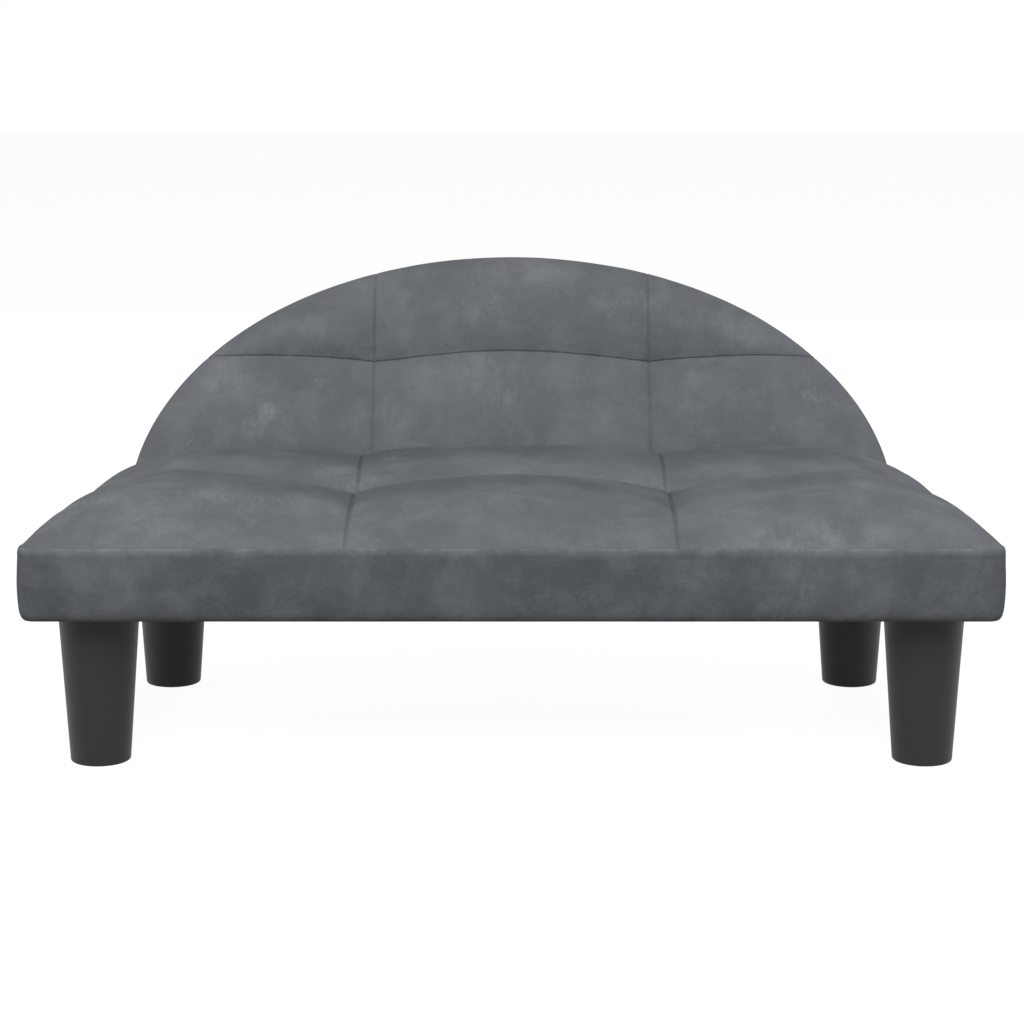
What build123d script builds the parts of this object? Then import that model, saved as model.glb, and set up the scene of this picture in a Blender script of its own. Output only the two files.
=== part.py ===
from build123d import *
import os
from math import asin, cos, degrees, radians, sin, tan

# A small upholstered sofa for a dog: a padded seat on a plywood and batten frame, four
# moulded legs, and an arched, padded backrest that two folded steel brackets carry.
# Millimetres, +Z up, the front towards -Y. The origin is on the floor under the middle.

os.makedirs("parts", exist_ok=True)

# Seat, seen from above: a trapezium that narrows towards the back
seat_front_width = 704.0
seat_rear_width = 628.0
seat_depth = 326.0
seat_corner_radius = 14.0
seat_band_height = 53.0
leg_height = 112.0

# Upholstery of the seat, with heights of the quilted top above its outer seam
band_thickness = 5.0
band_edge_radius = 4.0
cloth_thickness = 1.0
cloth_hole_clearance = 2.0
seat_edge_rise = 2.0
seat_crown = 36.0
seat_channel_rise = 22.0
seat_cross_rise = 13.0
seat_crossing_rise = 4.0
seat_channel_spacing = 236.0
least_rise = 0.6

# Seat frame
batten_thickness = 18.0
batten_height = 25.0
bearer_width = 54.0
deck_thickness = 5.0
block_reach = 27.0
block_lowering = 2.0

# Legs
leg_top_radius = 29.5
leg_bottom_radius = 21.7
leg_edge_radius = 1.6
leg_wall = 3.0
leg_floor = 4.0
leg_boss_radius = 9.0
leg_rib_thickness = 2.4
leg_rib_drop = 6.0
leg_inset_front = 50.0
leg_inset_rear = 49.6
leg_side_inset_front = 47.0
leg_side_inset_rear = 45.7

# Studs that screw into the legs, and the tee nuts that hold them
stud_radius = 4.0
stud_length = 52.0
stud_in_leg = 30.0
tee_flange_radius = 11.0
tee_flange_thickness = 1.4
tee_barrel_radius = 5.2
tee_barrel_length = 8.0
thread_clearance = 0.2

# Backrest: half an ellipse that stands on its long axis and leans back
back_width = 634.0
back_height = 221.0
back_thickness = 45.0
back_recline = 25.0
back_corner_radius = 9.0
back_gap = 0.3
back_crown = 26.0
back_edge_rise = 2.0
back_channel_rise = 12.0
back_cross_rise = 13.0
back_crossing_rise = 3.0
back_channel_spacing = 230.0
back_cross_height = 120.0
back_rim_width = 62.0
back_rim_margin = 3.0
back_rim_reach = 30.0
board_thickness = 9.0
nut_pocket_depth = 5.0

# Brackets and their bolts
bracket_spacing = 300.0
bracket_width = 34.0
bracket_thickness = 3.0
bracket_bend_radius = 3.0
bracket_end_radius = 8.0
bracket_foot_length = 116.0
bracket_arm_length = 112.0
bracket_foot_hole = 56.0
bracket_foot_pitch = 24.0
bracket_arm_hole = 44.0
bracket_arm_pitch = 50.0
bolt_radius = 3.0
bolt_length = 17.0
bolt_head_radius = 6.5
bolt_head_height = 3.4
bolt_clearance = 0.3

# Wood screws
screw_radius = 2.0
screw_head_radius = 4.0
screw_head_depth = 2.2
screw_clearance = 0.1
screw_sink = 0.8
pan_head_height = 2.4
corner_screw_length = 40.0
corner_screw_pitch = 12.0
deck_screw_length = 20.0
deck_screw_inset = 110.0
bracket_screw_length = 18.0

# Shape of the stuffing, as shares of a row, of a rim and of a cell
swell_power = 1.6
row_shares = (0.0, 0.03, 0.10, 0.25, 0.50, 0.75, 0.90, 0.97, 1.0)
rim_shares = (0.0, 0.04, 0.14, 0.36, 0.68, 1.0)
flank_share = 0.20
flank_height_share = 0.74

# One overrun serves every cut
overrun = 4.0

# A right angle, in degrees
square = 90.0

# Sizes that follow from those above
lean = radians(back_recline)
back_reach = (back_height - band_edge_radius) * sin(lean) + band_edge_radius
back_reach += (back_thickness - band_edge_radius) * cos(lean)
overall_depth = seat_depth + back_gap + back_reach
front_y = -overall_depth / 2
rear_y = front_y + seat_depth
front_half = seat_front_width / 2
rear_half = seat_rear_width / 2
side_slope = (front_half - rear_half) / seat_depth
seat_bottom = leg_height
seat_seam = seat_bottom + seat_band_height
frame_bottom = seat_bottom + cloth_thickness
frame_top = frame_bottom + batten_height
deck_top = frame_top + deck_thickness
frame_inset = band_thickness + batten_thickness
frame_front = front_y + frame_inset
frame_rear = rear_y - frame_inset
frame_middle = (frame_front + frame_rear) / 2
frame_span = seat_front_width + seat_rear_width
bracket_x = bracket_spacing / 2
foot_holes = [bracket_foot_hole + step * bracket_foot_pitch for step in range(3)]
arm_holes = [bracket_arm_hole + step * bracket_arm_pitch for step in range(2)]

back_half = back_width / 2
back_base_y = rear_y + back_gap
back_base_z = seat_bottom + back_thickness * sin(lean) + back_gap
back_face = Plane(
    origin=(0, back_base_y, back_base_z), x_dir=(1, 0, 0), z_dir=(0, -cos(lean), sin(lean))
)
back_rear = back_face.offset(-back_thickness)
board_front = back_rear.offset(cloth_thickness + board_thickness)
bend_y = back_base_y + back_thickness * cos(lean) - back_gap * tan(lean)
bend_height = -back_gap / cos(lean)

leg_x_front = front_half - side_slope * leg_inset_front - leg_side_inset_front
leg_x_rear = rear_half + side_slope * leg_inset_rear - leg_side_inset_rear
leg_places = {
    "front_left": (-leg_x_front, front_y + leg_inset_front),
    "front_right": (leg_x_front, front_y + leg_inset_front),
    "rear_left": (-leg_x_rear, rear_y - leg_inset_rear),
    "rear_right": (leg_x_rear, rear_y - leg_inset_rear),
}
bolt_spots = [(side * bracket_x, bend_height + hole) for side in (-1, 1) for hole in arm_holes]


def save(piece, name):
    """Give a finished piece its label and write it to its own file."""
    piece.part.label = name
    export_step(piece.part, "parts/" + name + ".step")


def half_width_at(y):
    """Half the width of the seat at a place along its depth."""
    return front_half - side_slope * (y - front_y)


def swell(share):
    """Height of the stuffing, 0 at both seams and 1 midway, along a superellipse."""
    return (1 - abs(2 * share - 1) ** swell_power) ** (1 / swell_power)


def row_height(share, edge, inner, top):
    """Height across a row of cells: edge at its outer seam, inner at the middle channel."""
    ramp = edge + (inner - edge) * share
    middle = (edge + inner) / 2
    return ramp + (top - middle) * swell(share)


def seat_plan(inset, height):
    """The seat's outline, drawn in by an inset, on a level plane."""
    with BuildSketch(Plane.XY.offset(height)) as plan:
        with BuildLine():
            Polyline(
                (-front_half, front_y),
                (front_half, front_y),
                (rear_half, rear_y),
                (-rear_half, rear_y),
                close=True,
            )
        make_face()
        if inset > 0:
            offset(amount=-inset, kind=Kind.INTERSECTION, mode=Mode.REPLACE)
        if seat_corner_radius > inset:
            fillet(plan.vertices(), seat_corner_radius - inset)
    return plan.sketch


def arch_plan(plane, inset, round_feet=True):
    """The backrest's outline, half an ellipse, drawn in by an inset on all its sides."""
    wide = back_half - inset
    tall = back_height - inset
    start = degrees(asin(inset / tall))
    turn = square - start
    with BuildSketch(plane) as arch:
        with BuildLine():
            right = EllipticalCenterArc((0, 0), wide, tall, start, arc_size=turn)
            left = EllipticalCenterArc((0, 0), wide, tall, square, arc_size=turn)
            Line(left @ 1, right @ 0)
        make_face()
        if round_feet and back_corner_radius > inset:
            fillet(arch.vertices().group_by(Axis.Y)[0], back_corner_radius - inset)
    return arch.sketch


def slab(outline, thickness):
    """A flat layer with a given outline."""
    return extrude(outline, thickness, mode=Mode.PRIVATE)


def puff(start, end, crest):
    """Three smooth arcs over one stuffed cell, from seam to seam of a cross-section."""
    flank = (end[0] - start[0]) * flank_share
    shoulder_a = (start[0] + flank, start[1] + (crest - start[1]) * flank_height_share)
    shoulder_b = (end[0] - flank, end[1] + (crest - end[1]) * flank_height_share)
    top = ThreePointArc(shoulder_a, ((start[0] + end[0]) / 2, crest), shoulder_b)
    TangentArc(shoulder_a, start, tangent=-(top % 0))
    TangentArc(shoulder_b, end, tangent=top % 1)


def quilt_section(plane, half_width, spacing, edge, channel, crest):
    """A cross-section of a quilted top: a flat underside and three stuffed columns."""
    with BuildSketch(plane) as section:
        with BuildLine():
            Line((-half_width, 0), (half_width, 0))
            Line((half_width, 0), (half_width, edge))
            puff((-half_width, edge), (-spacing / 2, channel), crest)
            puff((-spacing / 2, channel), (spacing / 2, channel), crest)
            puff((spacing / 2, channel), (half_width, edge), crest)
            Line((-half_width, edge), (-half_width, 0))
        make_face()
    return section.sketch


def wood_screw(length, clearance, pan):
    """A screw, or its hole: the flat of the head is at the origin, and the shank runs down."""
    head = screw_head_radius + clearance
    shank = screw_radius + clearance
    with BuildPart() as piece:
        if pan:
            with Locations((0, 0, pan_head_height / 2)):
                Cylinder(head, pan_head_height)
        else:
            with Locations((0, 0, -screw_head_depth / 2)):
                Cone(shank, head, screw_head_depth)
            if clearance > 0:
                with Locations((0, 0, screw_sink)):
                    Cylinder(head, 2 * screw_sink)
        with Locations((0, 0, -(length + clearance) / 2)):
            Cylinder(shank, length + clearance)
    return piece.part


# Places of the screws: two at each corner, which run along the side battens, four in each
# half of the deck, and three per bracket
corner_screws = []
deck_screws = []
bracket_screws = []
for side in (-1, 1):
    for step in (-0.5, 0.5):
        height = frame_bottom + batten_height / 2 + step * corner_screw_pitch
        screw_inset = frame_inset - 1.2 * screw_head_radius
        front_screw_y = front_y + band_thickness + screw_sink
        rear_screw_y = rear_y - band_thickness - screw_sink
        front_spot = (side * (half_width_at(front_screw_y) - screw_inset), front_screw_y, height)
        rear_spot = (side * (half_width_at(rear_screw_y) - screw_inset), rear_screw_y, height)
        corner_screws.append(Plane(origin=front_spot, z_dir=(side * side_slope, -1, 0)).location)
        corner_screws.append(Plane(origin=rear_spot, z_dir=(-side * side_slope, 1, 0)).location)
    for rail_y in (frame_front - batten_thickness / 2, frame_rear + batten_thickness / 2):
        rail_x = half_width_at(rail_y) - deck_screw_inset
        bearer_y = frame_middle + (rail_y - frame_middle) / 3
        deck_screws.append(Location((side * rail_x, rail_y, deck_top - screw_sink)))
        deck_screws.append(Location((side * bracket_x, bearer_y, deck_top - screw_sink)))
    for reach in foot_holes:
        spot = (side * bracket_x, bend_y - reach, seat_bottom - bracket_thickness)
        bracket_screws.append(Plane(origin=spot, z_dir=(0, 0, -1)).location)

screw_sets = {
    "frame_screws": (corner_screws, corner_screw_length, False),
    "deck_screws": (deck_screws, deck_screw_length, False),
    "bracket_screws": (bracket_screws, bracket_screw_length, True),
}
with BuildPart() as screw_holes:
    for places, length, pan in screw_sets.values():
        with Locations(*places):
            add(wood_screw(length, screw_clearance, pan))
for name, (places, length, pan) in screw_sets.items():
    with BuildPart() as screws:
        with Locations(*places):
            add(wood_screw(length, 0, pan))
    save(screws, name)

# Frame of the seat: front and rear battens over the full width, side battens between
frame_parts = {
    "front_rail": (0, front_y, frame_front),
    "rear_rail": (0, frame_rear, rear_y),
    "left_rail": (-frame_span / 2, frame_front, frame_rear),
    "right_rail": (frame_span / 2, frame_front, frame_rear),
}
for name, (middle_x, low_y, high_y) in frame_parts.items():
    with BuildPart() as rail:
        add(slab(seat_plan(band_thickness, frame_bottom), batten_height))
        add(slab(seat_plan(frame_inset, frame_bottom), batten_height), mode=Mode.SUBTRACT)
        with Locations((middle_x, (low_y + high_y) / 2, frame_bottom + batten_height / 2)):
            Box(frame_span, high_y - low_y, batten_height, mode=Mode.INTERSECT)
        add(screw_holes.part, mode=Mode.SUBTRACT)
    save(rail, name)

# Two bearers under the deck, which the brackets are screwed to
for name, side in (("left_bearer", -1), ("right_bearer", 1)):
    with BuildPart() as bearer:
        with Locations((side * bracket_x, frame_middle, frame_bottom + batten_height / 2)):
            Box(bearer_width, frame_rear - frame_front, batten_height)
        add(screw_holes.part, mode=Mode.SUBTRACT)
    save(bearer, name)

# Corner blocks: each fills a corner of the frame and holds the tee nut of one leg
block_height = batten_height - block_lowering
block_top = frame_bottom + block_height
with BuildPart() as leg_nut_holes:
    for x, y in leg_places.values():
        with Locations((x, y, block_top - block_height / 2)):
            Cylinder(stud_radius + thread_clearance, block_height)
        with Locations((x, y, block_top - tee_barrel_length / 2)):
            Cylinder(tee_barrel_radius + thread_clearance, tee_barrel_length)
with BuildPart() as corner_blocks:
    for x, y in leg_places.values():
        outward = 1 if x > 0 else -1
        backward = 1 if y > frame_middle else -1
        middle_x = x + outward * (front_half - block_reach)
        middle_y = y + backward * (leg_inset_front - block_reach)
        with Locations((middle_x, middle_y, block_top - block_height / 2)):
            Box(2 * front_half, 2 * leg_inset_front, block_height)
    add(slab(seat_plan(frame_inset, frame_bottom), block_height), mode=Mode.INTERSECT)
    add(leg_nut_holes.part, mode=Mode.SUBTRACT)
save(corner_blocks, "corner_blocks")

with BuildPart() as leg_tee_nuts:
    for x, y in leg_places.values():
        with Locations((x, y, block_top + tee_flange_thickness / 2)):
            Cylinder(tee_flange_radius, tee_flange_thickness)
        with Locations((x, y, block_top - tee_barrel_length / 2)):
            Cylinder(tee_barrel_radius, tee_barrel_length)
        with Locations((x, y, block_top)):
            Cylinder(stud_radius + thread_clearance, 3 * tee_barrel_length, mode=Mode.SUBTRACT)
save(leg_tee_nuts, "leg_tee_nuts")

with BuildPart() as leg_studs:
    for x, y in leg_places.values():
        with Locations((x, y, leg_height - stud_in_leg + stud_length / 2)):
            Cylinder(stud_radius, stud_length)
    chamfer(leg_studs.edges().filter_by(GeomType.CIRCLE), stud_radius / 5)
save(leg_studs, "leg_studs")

# Legs: a tapered moulding, open at the top, with a boss for the stud and four ribs
for key, (x, y) in leg_places.items():
    with BuildPart() as leg:
        with BuildSketch(Plane.XZ) as wall_profile:
            with BuildLine():
                Polyline(
                    (0, 0),
                    (leg_bottom_radius, 0),
                    (leg_top_radius, leg_height),
                    (leg_top_radius - leg_wall, leg_height),
                    (leg_bottom_radius - leg_wall, leg_floor),
                    (0, leg_floor),
                    close=True,
                )
            make_face()
            foot_corner = wall_profile.vertices().sort_by_distance((leg_bottom_radius, 0, 0))[0]
            fillet(foot_corner, leg_edge_radius)
        revolve(axis=Axis.Z)
        with Locations((0, 0, (leg_height + leg_floor) / 2)):
            Cylinder(leg_boss_radius, leg_height - leg_floor)
        rib_top = leg_height - leg_rib_drop
        low_reach = leg_bottom_radius - leg_wall / 2
        high_reach = low_reach + (leg_top_radius - leg_bottom_radius) * rib_top / leg_height
        for rib_plane in (Plane.XZ, Plane.YZ):
            with BuildSketch(rib_plane):
                with BuildLine():
                    Polyline(
                        (-low_reach, leg_floor / 2),
                        (low_reach, leg_floor / 2),
                        (high_reach, rib_top),
                        (-high_reach, rib_top),
                        close=True,
                    )
                make_face()
            extrude(amount=leg_rib_thickness / 2, both=True)
        with Locations((0, 0, leg_height - stud_in_leg / 2)):
            Cylinder(stud_radius + thread_clearance, stud_in_leg, mode=Mode.SUBTRACT)
    leg.part.position = (x, y, 0)
    save(leg, key + "_leg")

# Non-woven cloth that closes the seat from below, inside the band
with BuildPart() as dust_cover:
    add(slab(seat_plan(band_thickness, seat_bottom), cloth_thickness))
    for x, y in leg_places.values():
        with Locations((x, y, seat_bottom + cloth_thickness / 2)):
            Cylinder(stud_radius + cloth_hole_clearance, cloth_thickness, mode=Mode.SUBTRACT)
    add(screw_holes.part, mode=Mode.SUBTRACT)
save(dust_cover, "dust_cover")

with BuildPart() as seat_deck:
    add(slab(seat_plan(band_thickness, frame_top), deck_thickness))
    add(screw_holes.part, mode=Mode.SUBTRACT)
save(seat_deck, "seat_deck")

with BuildPart() as seat_foam:
    add(slab(seat_plan(band_thickness, deck_top), seat_seam - deck_top))
save(seat_foam, "seat_foam")

with BuildPart() as seat_border:
    add(slab(seat_plan(0, seat_bottom), seat_band_height))
    fillet(seat_border.faces().sort_by(Axis.Z)[0].edges(), band_edge_radius)
    add(slab(seat_plan(band_thickness, seat_bottom), seat_band_height), mode=Mode.SUBTRACT)
save(seat_border, "seat_border")

# Quilted top of the seat: two rows of three stuffed cells, sewn down along the channels
with BuildPart() as seat_quilt:
    for seam_y, direction in ((front_y, 1), (rear_y, -1)):
        sections = []
        for share in row_shares:
            y = seam_y + direction * share * seat_depth / 2
            across = Plane(origin=(0, y, seat_seam), x_dir=(1, 0, 0), z_dir=(0, -1, 0))
            channel = row_height(share, seat_edge_rise, seat_crossing_rise, seat_channel_rise)
            crest = row_height(share, seat_edge_rise, seat_cross_rise, seat_crown) + least_rise
            half_width = half_width_at(y) + overrun / 2
            edge = seat_edge_rise
            section = quilt_section(across, half_width, seat_channel_spacing, edge, channel, crest)
            sections.append(section)
        loft(sections)
    add(slab(seat_plan(0, seat_seam), seat_crown + overrun), mode=Mode.INTERSECT)
save(seat_quilt, "seat_quilt")

# Backrest, from the back to the front: cover, board, foam and quilted front, in a band
with BuildPart() as bolt_holes:
    with Locations(back_rear):
        with Locations(*bolt_spots):
            Cylinder(bolt_radius + bolt_clearance, back_thickness)

with BuildPart() as back_cover:
    add(slab(arch_plan(back_rear, band_thickness), cloth_thickness))
    add(bolt_holes.part, mode=Mode.SUBTRACT)
save(back_cover, "back_cover")

with BuildPart() as back_board:
    add(slab(arch_plan(back_rear.offset(cloth_thickness), band_thickness), board_thickness))
    add(bolt_holes.part, mode=Mode.SUBTRACT)
    with Locations(board_front.offset(-tee_barrel_length / 2)):
        with Locations(*bolt_spots):
            Cylinder(tee_barrel_radius + thread_clearance, tee_barrel_length, mode=Mode.SUBTRACT)
save(back_board, "back_board")

with BuildPart() as back_tee_nuts:
    with Locations(board_front.offset(tee_flange_thickness / 2)):
        with Locations(*bolt_spots):
            Cylinder(tee_flange_radius, tee_flange_thickness)
    with Locations(board_front.offset(-tee_barrel_length / 2)):
        with Locations(*bolt_spots):
            Cylinder(tee_barrel_radius, tee_barrel_length)
    add(bolt_holes.part, mode=Mode.SUBTRACT)
save(back_tee_nuts, "back_tee_nuts")

with BuildPart() as back_bolts:
    with Locations(back_rear.offset(-bracket_thickness - bolt_head_height / 2)):
        with Locations(*bolt_spots):
            Cylinder(bolt_head_radius, bolt_head_height)
    with Locations(back_rear.offset(bolt_length / 2 - bracket_thickness)):
        with Locations(*bolt_spots):
            Cylinder(bolt_radius, bolt_length)
save(back_bolts, "back_bolts")

with BuildPart() as back_foam:
    foam_thickness = back_thickness - cloth_thickness - board_thickness
    add(slab(arch_plan(board_front, band_thickness), foam_thickness))
    with Locations(board_front.offset(nut_pocket_depth / 2)):
        with Locations(*bolt_spots):
            Cylinder(tee_flange_radius + thread_clearance, nut_pocket_depth, mode=Mode.SUBTRACT)
save(back_foam, "back_foam")

with BuildPart() as back_border:
    add(slab(arch_plan(back_rear, 0), back_thickness))
    rear_edges = back_border.faces().filter_by(GeomType.PLANE).sort_by(Axis.Y)[-1].edges()
    fillet(rear_edges, band_edge_radius)
    add(slab(arch_plan(back_rear, band_thickness), back_thickness), mode=Mode.SUBTRACT)
save(back_border, "back_border")

# Quilted front of the backrest: stuffed cells, trimmed by a crowned rim along the arch, and
# pressed flat where it stands against the back of the seat
with BuildPart() as back_rim:
    rims = []
    for share in rim_shares:
        height = (back_crown + back_rim_margin) * swell(share / 2)
        rims.append(arch_plan(back_face.offset(height), back_rim_width * share, round_feet=False))
    loft(rims)
with BuildPart() as back_quilt:
    for seam in (-back_rim_reach, back_height + back_rim_reach):
        sections = []
        for share in row_shares:
            row_place = seam + (back_cross_height - seam) * share
            middle = back_face.from_local_coords(Vector(0, row_place, 0))
            across = Plane(origin=middle, x_dir=(1, 0, 0), z_dir=-back_face.y_dir)
            channel = row_height(share, back_edge_rise, back_crossing_rise, back_channel_rise)
            crest = row_height(share, back_edge_rise, back_cross_rise, back_crown) + least_rise
            half_width = back_half + back_rim_reach
            edge = back_edge_rise
            section = quilt_section(across, half_width, back_channel_spacing, edge, channel, crest)
            sections.append(section)
        loft(sections)
    add(back_rim.part, mode=Mode.INTERSECT)
    add(slab(arch_plan(back_face, 0), back_crown + overrun), mode=Mode.INTERSECT)
    with Locations((0, back_base_y - back_crown, back_base_z)):
        Box(back_width, 2 * back_crown, back_width, mode=Mode.SUBTRACT)
save(back_quilt, "back_quilt")

# Brackets: a foot under the seat, and an arm up the back of the backrest
turn = radians(square - back_recline)
arm_end_y = bend_y + bracket_arm_length * sin(lean)
arm_end_z = seat_bottom + bracket_arm_length * cos(lean)
for name, side in (("left_bracket", -1), ("right_bracket", 1)):
    with BuildPart() as bracket:
        with BuildSketch(Plane.YZ.offset(side * bracket_x)) as fold:
            inner_bend = (bend_y, seat_bottom)
            outer_bend = (bend_y + bracket_thickness * tan(turn / 2), seat_bottom - bracket_thickness)
            with BuildLine():
                Polyline(
                    (bend_y - bracket_foot_length, seat_bottom),
                    inner_bend,
                    (arm_end_y, arm_end_z),
                    (arm_end_y + bracket_thickness * cos(lean), arm_end_z - bracket_thickness * sin(lean)),
                    outer_bend,
                    (bend_y - bracket_foot_length, seat_bottom - bracket_thickness),
                    close=True,
                )
            make_face()
            fillet(fold.vertices().sort_by_distance(Vector(*inner_bend, 0))[0], bracket_bend_radius)
            outer_radius = bracket_bend_radius + bracket_thickness
            fillet(fold.vertices().sort_by_distance(Vector(*outer_bend, 0))[0], outer_radius)
        extrude(amount=bracket_width / 2, both=True)
        foot_corners = bracket.edges().filter_by(Axis.Z).group_by(Axis.Y)[0]
        arm_axis = Axis((0, 0, 0), back_face.z_dir)
        arm_corners = bracket.edges().filter_by(arm_axis).group_by(Axis.Z)[-1]
        fillet(foot_corners + arm_corners, bracket_end_radius)
        add(screw_holes.part, mode=Mode.SUBTRACT)
        add(bolt_holes.part, mode=Mode.SUBTRACT)
    save(bracket, name)
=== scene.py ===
# %% [markdown]
# # A small upholstered dog sofa
#
# The sofa has a padded seat on four tapered legs and a padded backrest, half an ellipse.
# Both are covered in brushed slate grey suede, quilted in two rows of three cells. The
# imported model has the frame, the legs and the brackets. This lesson makes the cloth covers,
# the stitching and the finishes, then lights the sofa.

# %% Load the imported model
import bpy
import numpy as np
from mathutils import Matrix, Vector


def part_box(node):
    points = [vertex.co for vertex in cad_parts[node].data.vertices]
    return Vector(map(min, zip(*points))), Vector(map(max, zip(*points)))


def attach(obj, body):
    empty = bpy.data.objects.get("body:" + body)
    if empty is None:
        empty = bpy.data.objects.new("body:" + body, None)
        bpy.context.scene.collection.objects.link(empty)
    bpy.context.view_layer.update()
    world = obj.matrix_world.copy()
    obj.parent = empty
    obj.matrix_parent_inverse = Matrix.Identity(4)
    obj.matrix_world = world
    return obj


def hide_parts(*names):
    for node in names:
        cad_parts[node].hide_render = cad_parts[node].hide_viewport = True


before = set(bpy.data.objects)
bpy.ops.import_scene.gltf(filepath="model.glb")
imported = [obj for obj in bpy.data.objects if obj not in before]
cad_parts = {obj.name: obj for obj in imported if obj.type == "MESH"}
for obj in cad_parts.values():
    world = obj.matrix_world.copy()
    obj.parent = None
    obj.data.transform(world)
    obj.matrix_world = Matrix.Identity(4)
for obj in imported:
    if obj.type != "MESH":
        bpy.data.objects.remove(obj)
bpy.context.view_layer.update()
mm = 0.001

# %% [markdown]
# ## Sizes
#
# The covers lie where the model's plain solids lie, so most sizes come from their boxes.
# The rest are the sewing plan: where the channels run and how high the stuffing stands. They
# could be measured off the solids, but a cutter works from a plan like this one.

# %% Read the sizes of the seat and set out its quilting
band_low, band_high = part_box("seat_border")
front_y, rear_y = band_low[1], band_high[1]
middle_y = (front_y + rear_y) / 2
seat_floor, seat_seam = band_low[2], band_high[2]
deck_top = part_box("seat_deck")[1][2]
seat_depth = rear_y - front_y
seat_front_half = 352 * mm
seat_rear_half = 314 * mm
seat_corner = 14 * mm
seat_channel_x = 118 * mm
seat_crowns = (33.3, 31.8), (37.0, 31.0)  # mm: rear, then front, outer before middle cells
seat_channel_rises = 24.0 * mm, 14.3 * mm  # rear, front
seat_cross_rise = 12.5 * mm
seat_crossing_rise = 8.5 * mm
seat_panel_inset = 2.0 * mm
before_settling = 0.97
print("seat from", front_y, "to", rear_y, "with its seam at", seat_seam)

# %% Set out the backrest
lean = np.radians(25)
back_half = 317 * mm
back_height = 221 * mm
back_thickness = 45 * mm
back_foot_corner = 9 * mm
back_channel_x = 115 * mm
back_cross_s = 126 * mm
back_crown = 22 * mm
back_channel_rise = 16.5 * mm
back_cross_rise = 14 * mm
back_crossing_rise = 6 * mm
back_seam_lifts = 7.2 * mm, 3.7 * mm
back_rim_width = 62 * mm
back_panel_inset = 1.0 * mm
back_middle_s = 0.45 * back_height
clear = 0.3 * mm
back_base_z = seat_floor + back_thickness * np.sin(lean) + clear
back_base = np.array([0, rear_y + clear, back_base_z])
back_up = np.array([0, np.sin(lean), np.cos(lean)])
back_out = np.array([0, -np.cos(lean), np.sin(lean)])
print("backrest stands on", back_base)

# %% [markdown]
# ## Helpers for cloth surfaces
#
# Each cover is a surface worked out on a grid. A box could be pushed about by hand, but then
# no seam would be where the plan says. Grid lines crowd towards the seams, where the cloth
# bends most, and each seam is a grid line.

# %% Spread grid lines and swell the stuffing between two seams
def spread(count, ease=0.75):
    """Places from 0 to 1 that crowd to both ends: s less a sine wave of one turn over s."""
    s = np.linspace(0, 1, count + 1)
    return s - ease * np.sin(2 * np.pi * s) / (2 * np.pi)


def swell(share, power=1.6):
    """Height of stuffing, 0 at both seams and 1 midway: a superellipse of the share."""
    return np.clip(1 - np.abs(2 * share - 1) ** power, 0, None) ** (1 / power)


def pillow(share, power=3.0):
    """Height of firmer stuffing, which leaves its seams at a slope: 1 less a power of the
    way from the middle."""
    return 1 - np.abs(2 * share - 1) ** power


def soft_least(first, second, width):
    """The lower of two heights with their crossing rounded: a log of summed exponents."""
    low = np.minimum(first, second)
    return low - width * np.log(np.exp((low - first) / width) + np.exp((low - second) / width))


def bell(distance, width):
    """A bell curve: e to the power of minus the square of the distance over the width."""
    return np.exp(-((distance / width) ** 2))


def unit(vectors):
    """The vectors over their lengths."""
    return vectors / np.linalg.norm(vectors, axis=-1, keepdims=True)


def unevenness(x, y, reach, waves, seed):
    """Soft lumps between about -1 and 1: a sum of waves of random direction, length and
    phase, over the root of twice their number."""
    draw = np.random.default_rng(seed)
    turn = draw.uniform(0, np.pi, waves)
    length = reach * draw.uniform(0.7, 1.6, waves)
    phase = draw.uniform(0, 2 * np.pi, waves)
    along = x[..., None] * np.cos(turn) + y[..., None] * np.sin(turn)
    return np.sin(2 * np.pi * along / length + phase).sum(-1) / np.sqrt(2 * waves)


def puckers(x, y, channel, cross, seed):
    """Small puckers: a bell curve of the distance from the nearest sewn line, times lumps."""
    gap = np.minimum(np.abs(np.abs(x) - channel), np.abs(y - cross))
    return 0.35 * mm * unevenness(x, y, 11 * mm, 18, seed) * bell(gap, 9 * mm)


# %% Turn grids and rings of points into meshes
def in_mm(length):
    """A length in millimetres."""
    return round(float(length) / mm, 1)


def add_object(name, data):
    """An object with the data given, linked to the scene at the origin."""
    made = bpy.data.objects.new(name, data)
    bpy.context.scene.collection.objects.link(made)
    return made


def add_piece(name, points, faces, slot, smooth=True):
    """A mesh piece from points and faces, riding on the sofa; its material slot is not used."""
    mesh = bpy.data.meshes.new(name)
    mesh.from_pydata(np.asarray(points, float), [], [list(map(int, f)) for f in faces])
    mesh.polygons.foreach_set("use_smooth", np.full(len(mesh.polygons), smooth))
    mesh.update()
    piece = add_object(name, mesh)
    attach(piece, "root")
    print("made", name, "with", len(mesh.polygons), "faces")
    return piece


def grid_faces(rows, columns):
    """Quads of a grid numbered row by row, facing its upper side: each point with the next
    in its row and the two above them."""
    first = (np.arange(rows - 1)[:, None] * columns + np.arange(columns - 1)).ravel()
    return np.stack([first, first + 1, first + columns + 1, first + columns], 1)


def rim_of(rows, columns):
    """Numbers of a grid's outer points, anticlockwise from its first corner."""
    n = np.arange(rows * columns).reshape(rows, columns)
    return np.concatenate([n[0, :-1], n[:-1, -1], n[-1, :0:-1], n[:0:-1, 0]])


def on_rim(*grids):
    """The values of grids at their outer points."""
    return [grid.ravel()[rim_of(*grid.shape)] for grid in grids]


def wall_faces(upper, lower):
    """Quads between two rings of point numbers, facing away from the ring's middle."""
    return np.stack([upper, lower, np.roll(lower, -1), np.roll(upper, -1)], 1)


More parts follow.
